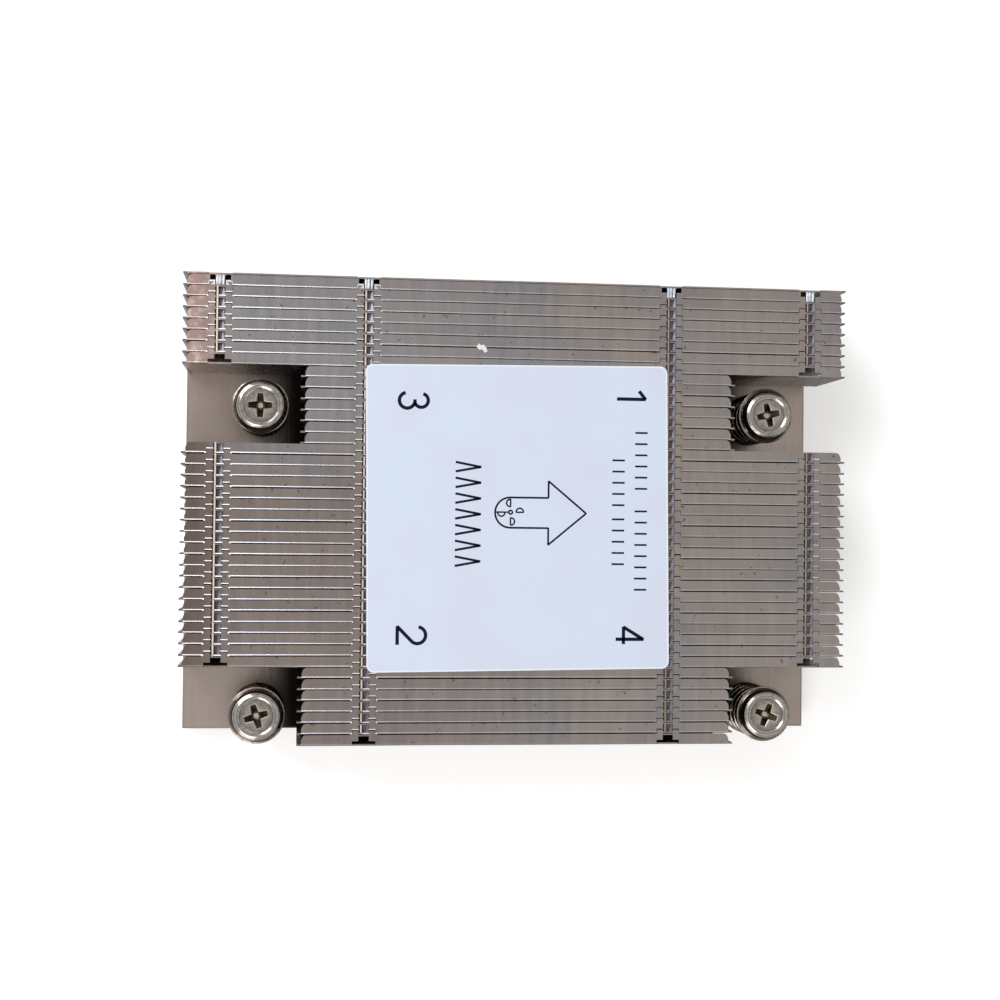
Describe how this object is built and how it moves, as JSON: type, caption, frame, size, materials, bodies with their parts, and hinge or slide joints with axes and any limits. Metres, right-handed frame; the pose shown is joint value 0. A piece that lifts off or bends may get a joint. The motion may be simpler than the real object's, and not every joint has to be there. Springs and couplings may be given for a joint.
{
  "type": "cpu heatsink",
  "caption": "Low server processor heatsink: stack of folded, interlocked fins on a base plate held down by captive spring screws.",
  "frame": {"origin": "on the contact face, under the middle of the screw pattern", "axes": "+X along the fins, which is the way the air flows, +Y across the fins towards the end fin, +Z from the contact face to the fin tops"},
  "size_m": [0.1218, 0.0861, 0.0256],
  "materials": {
    "plate_nickel": "satin, nickel plated",
    "fin_nickel": "bright rolled sheet, nickel plated",
    "screw_steel": "bright plated steel",
    "washer_steel": "plated steel",
    "spring_wire": "blackened spring steel",
    "label_film": "smooth white film"
  },
  "bodies": {
    "root": {"base_plate": "plate_nickel", "fin_00": "fin_nickel", "fin_01": "fin_nickel", "fin_02": "fin_nickel", "fin_03": "fin_nickel", "fin_04": "fin_nickel", "fin_05": "fin_nickel", "fin_06": "fin_nickel", "fin_07": "fin_nickel", "fin_08": "fin_nickel", "fin_09": "fin_nickel", "fin_10": "fin_nickel", "fin_11": "fin_nickel", "fin_12": "fin_nickel", "fin_13": "fin_nickel", "fin_14": "fin_nickel", "fin_15": "fin_nickel", "fin_16": "fin_nickel", "fin_17": "fin_nickel", "fin_18": "fin_nickel", "fin_19": "fin_nickel", "fin_20": "fin_nickel", "fin_21": "fin_nickel", "fin_22": "fin_nickel", "fin_23": "fin_nickel", "fin_24": "fin_nickel", "fin_25": "fin_nickel", "fin_26": "fin_nickel", "fin_27": "fin_nickel", "fin_28": "fin_nickel", "fin_29": "fin_nickel", "fin_30": "fin_nickel", "fin_31": "fin_nickel", "fin_32": "fin_nickel", "fin_33": "fin_nickel", "fin_34": "fin_nickel", "fin_35": "fin_nickel", "fin_36": "fin_nickel", "fin_37": "fin_nickel", "fin_38": "fin_nickel", "fin_39": "fin_nickel", "fin_40": "fin_nickel", "fin_41": "fin_nickel", "fin_42": "fin_nickel", "label": "label_film", "spring_1": "spring_wire", "spring_2": "spring_wire", "spring_3": "spring_wire", "spring_4": "spring_wire"},
    "press_1": {"washer_1": "washer_steel"},
    "press_2": {"washer_2": "washer_steel"},
    "press_3": {"washer_3": "washer_steel"},
    "press_4": {"washer_4": "washer_steel"},
    "turn_1": {"screw_1": "screw_steel"},
    "turn_2": {"screw_2": "screw_steel"},
    "turn_3": {"screw_3": "screw_steel"},
    "turn_4": {"screw_4": "screw_steel"}
  },
  "joints": [
    {"name": "screw_press_1", "type": "slide", "parent": "root", "child": "press_1", "axis": [0, 0, -1], "range_m": [0, 0.0059], "stiffness_N_per_m": 6000, "deforming": ["spring_1"]},
    {"name": "screw_turn_1", "type": "hinge", "parent": "press_1", "child": "turn_1", "pos_m": [0.047, 0.028, 0.0205], "axis": [0, 0, 1], "continuous": true},
    {"name": "screw_press_2", "type": "slide", "parent": "root", "child": "press_2", "axis": [0, 0, -1], "range_m": [0, 0.0059], "stiffness_N_per_m": 6000, "deforming": ["spring_2"]},
    {"name": "screw_turn_2", "type": "hinge", "parent": "press_2", "child": "turn_2", "pos_m": [-0.047, -0.028, 0.0205], "axis": [0, 0, 1], "continuous": true},
    {"name": "screw_press_3", "type": "slide", "parent": "root", "child": "press_3", "axis": [0, 0, -1], "range_m": [0, 0.0059], "stiffness_N_per_m": 6000, "deforming": ["spring_3"]},
    {"name": "screw_turn_3", "type": "hinge", "parent": "press_3", "child": "turn_3", "pos_m": [-0.047, 0.028, 0.0205], "axis": [0, 0, 1], "continuous": true},
    {"name": "screw_press_4", "type": "slide", "parent": "root", "child": "press_4", "axis": [0, 0, -1], "range_m": [0, 0.0059], "stiffness_N_per_m": 6000, "deforming": ["spring_4"]},
    {"name": "screw_turn_4", "type": "hinge", "parent": "press_4", "child": "turn_4", "pos_m": [0.047, -0.028, 0.0205], "axis": [0, 0, 1], "continuous": true}
  ]
}
